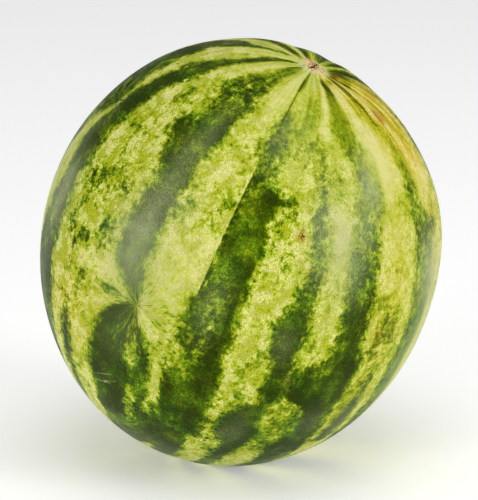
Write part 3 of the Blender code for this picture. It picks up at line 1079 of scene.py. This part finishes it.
def rind_material():
    material, tree, shader = new_material("rind")
    rind = RindMarks(tree)
    colour = skin_colour(rind, rind_level(rind))
    scabs, near_scab = scab_masks(rind)
    scab_colour = blend(tree, rind.crumbs.step(-0.02, 0.10), SCAB_COLOUR, SCAB_CREST_COLOUR)
    colour = blend(tree, scabs * near_scab.step(0.03, 0.3), colour, scab_colour)
    colour = scratched(rind, colour)
    stipple = rind.pattern("stipple")
    stipple = stipple * (rind.inside * 1.6 + 1.9) * rind.mottle * (1.0 - rind.pinched)
    feed(tree, colour.scaled(stipple + rind.rays * 1.5 + 1.0), shader.inputs["Base Color"])
    feed(tree, rind.crumbs * 0.35 + rind.haze * 0.25 + 0.38, shader.inputs["Roughness"])
    shader.inputs["IOR"].default_value = 1.45
    shader.inputs["Specular IOR Level"].default_value = GLOSS_LEVEL
    shader.inputs["Specular Tint"].default_value = GLOSS_TINT

    relief = rind.crease * 0.3 + rind.lace * 0.6 + rind.crumbs * 0.5 + rind.grain * 0.35
    relief = relief + rind.rays * 2.0 + rind.streaks * 2.0 + scabs * near_scab * 0.6
    bump = add(tree, "ShaderNodeBump", {"Height": relief, "Distance": 0.00035, "Strength": 0.7})
    feed(tree, bump.outputs[0], shader.inputs["Normal"])
    return material


# Cork colours by height: darker in the cleft and pits and paler on the lump tops. This is partly the
# cork's own brown cracks and pale callus, and partly painted shade and painted highlight.
CORK_COLOURS_AND_PAINTED_SHADE = (
    (0.00, (0.030, 0.012, 0.005)),
    (0.25, (0.090, 0.038, 0.012)),
    (0.42, (0.60, 0.36, 0.16)),
    (0.62, (0.87, 0.58, 0.31)),
    (1.00, (0.96, 0.77, 0.47)),
)


def cork_material():
    material, tree, shader = new_material("cork")
    place = Arrow(tree, add(tree, "ShaderNodeTexCoord").outputs["Object"])
    fine = noise(tree, place, 0.0011, 3.0, 0.7)
    # colour follows the lens's height: painted shade in the cleft and pits and painted highlight on the
    # lump tops, over the cork's own tones
    colour = colour_ramp(tree, attribute(tree, "relief") * 0.75 + fine * 0.9 + 0.60, CORK_COLOURS_AND_PAINTED_SHADE)
    feeds = {"Place": place, "Size": 0.0008, "Cover": 0.12}
    specks = Number(tree, add(tree, "ShaderNodeGroup", feeds, node_tree=SPECKS).outputs["Specks"])
    feed(tree, blend(tree, specks * 0.7, colour, SCAB_COLOUR), shader.inputs["Base Color"])
    feed(tree, fine * 0.3 + 0.75, shader.inputs["Roughness"])
    shader.inputs["IOR"].default_value = 1.4
    bump = add(tree, "ShaderNodeBump", {"Height": fine, "Distance": 0.0004, "Strength": 0.8})
    feed(tree, bump.outputs[0], shader.inputs["Normal"])
    return material


# ---- the studio

VIEW_ELEVATION = 15.0
VIEW_DISTANCE = 1.7
VIEW_MIDDLE = FRUIT_CENTRE + Vector((-0.00075, 0.00068, 0.00254))
LENS = 202.0
SENSOR_WIDTH = 36.0
FARTHEST_SEEN = 100.0


def make_camera():
    camera = bpy.data.objects.new("camera", bpy.data.cameras.new("camera"))
    bpy.context.scene.collection.objects.link(camera)
    elevation = math.radians(VIEW_ELEVATION)
    back = Vector((0.0, -math.cos(elevation), math.sin(elevation)))
    camera.location = VIEW_MIDDLE + back * VIEW_DISTANCE
    camera.rotation_euler = back.to_track_quat("Z", "Y").to_euler()
    camera.data.lens = LENS
    camera.data.sensor_width = SENSOR_WIDTH
    camera.data.clip_end = FARTHEST_SEEN
    bpy.context.scene.camera = camera


FLOOR_REACH = 12.0
FLOOR_COLOUR = (0.9, 0.9, 0.9, 1.0)
FLOOR_GLOW = 0.3


def make_floor():
    mesh = bpy.data.meshes.new("floor")
    turns = ((-1, -1), (1, -1), (1, 1), (-1, 1))
    corners = [(x * FLOOR_REACH, y * FLOOR_REACH, FLOOR_HEIGHT) for x, y in turns]
    mesh.from_pydata(corners, [], [(0, 1, 2, 3)])
    material, _, shader = new_material("pale_floor")
    shader.inputs["Base Color"].default_value = FLOOR_COLOUR
    shader.inputs["Roughness"].default_value = 0.9
    shader.inputs["Emission Color"].default_value = (1.0, 1.0, 1.0, 1.0)
    shader.inputs["Emission Strength"].default_value = FLOOR_GLOW
    mesh.materials.append(material)
    floor = bpy.data.objects.new("floor", mesh)
    bpy.context.scene.collection.objects.link(floor)


# Area lights that face the fruit: compass direction, 0 on the viewer's side, then elevation,
# width, height and power
SOFTBOXES = {
    "left_softbox": (-48, 10, 0.8, 0.9, 20),
    "right_softbox": (63, 18, 0.8, 1.2, 25),
    "top_softbox": (10, 75, 1.8, 1.8, 20),
}
LIGHT_DISTANCE = 2.6

# Brightness of the surroundings from straight down, 0, to straight up, 1, pale at the horizon
SKY_LEVELS = (
    (0.0, 0.15), (0.48, 0.66), (0.52, 0.66), (0.55, 0.12), (0.75, 0.20), (0.9, 0.55), (1.0, 0.65),
)


def softbox(name, azimuth, elevation, width, height, power):
    data = bpy.data.lights.new(name, "AREA")
    data.shape = "RECTANGLE"
    data.size, data.size_y = width, height
    data.energy = power
    light = bpy.data.objects.new(name, data)
    bpy.context.scene.collection.objects.link(light)
    turn, lift = math.radians(azimuth), math.radians(elevation)
    out = Vector((math.sin(turn) * math.cos(lift), -math.cos(turn) * math.cos(lift), math.sin(lift)))
    light.location = FRUIT_CENTRE + out * LIGHT_DISTANCE
    light.rotation_euler = out.to_track_quat("Z", "Y").to_euler()


def make_lights():
    world = bpy.data.worlds.new("studio")
    bpy.context.scene.world = world
    world.use_nodes = True
    tree = world.node_tree
    place = Arrow(tree, add(tree, "ShaderNodeTexCoord").outputs["Generated"])
    height = place.parts()[2] * 0.5 + 0.5
    sky = colour_ramp(tree, height, [(at, (level, level, level)) for at, level in SKY_LEVELS])
    feed(tree, sky, tree.nodes["Background"].inputs["Color"])
    for name, sizes in SOFTBOXES.items():
        softbox(name, *sizes)
    bpy.context.scene.view_settings.view_transform = "Standard"


make_camera()
make_floor()
make_lights()

rind = grow("rind", rind_tree(rind_material()), {"Segments": SEGMENTS, "Rings": RINGS})
mark_rind(rind.data)
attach(rind, "root")
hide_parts("watermelon")

cork = cork_material()
cork_lens = cork_lens_tree(cork)
stem_scar = grow("stem_scar", cork_lens)
navel_scar = grow("navel_scar", cork_lens, NAVEL_CORK)
stem_fibres = grow("stem_fibres", stem_fibres_tree(cork))
for piece in (stem_scar, navel_scar, stem_fibres):
    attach(piece, "root")
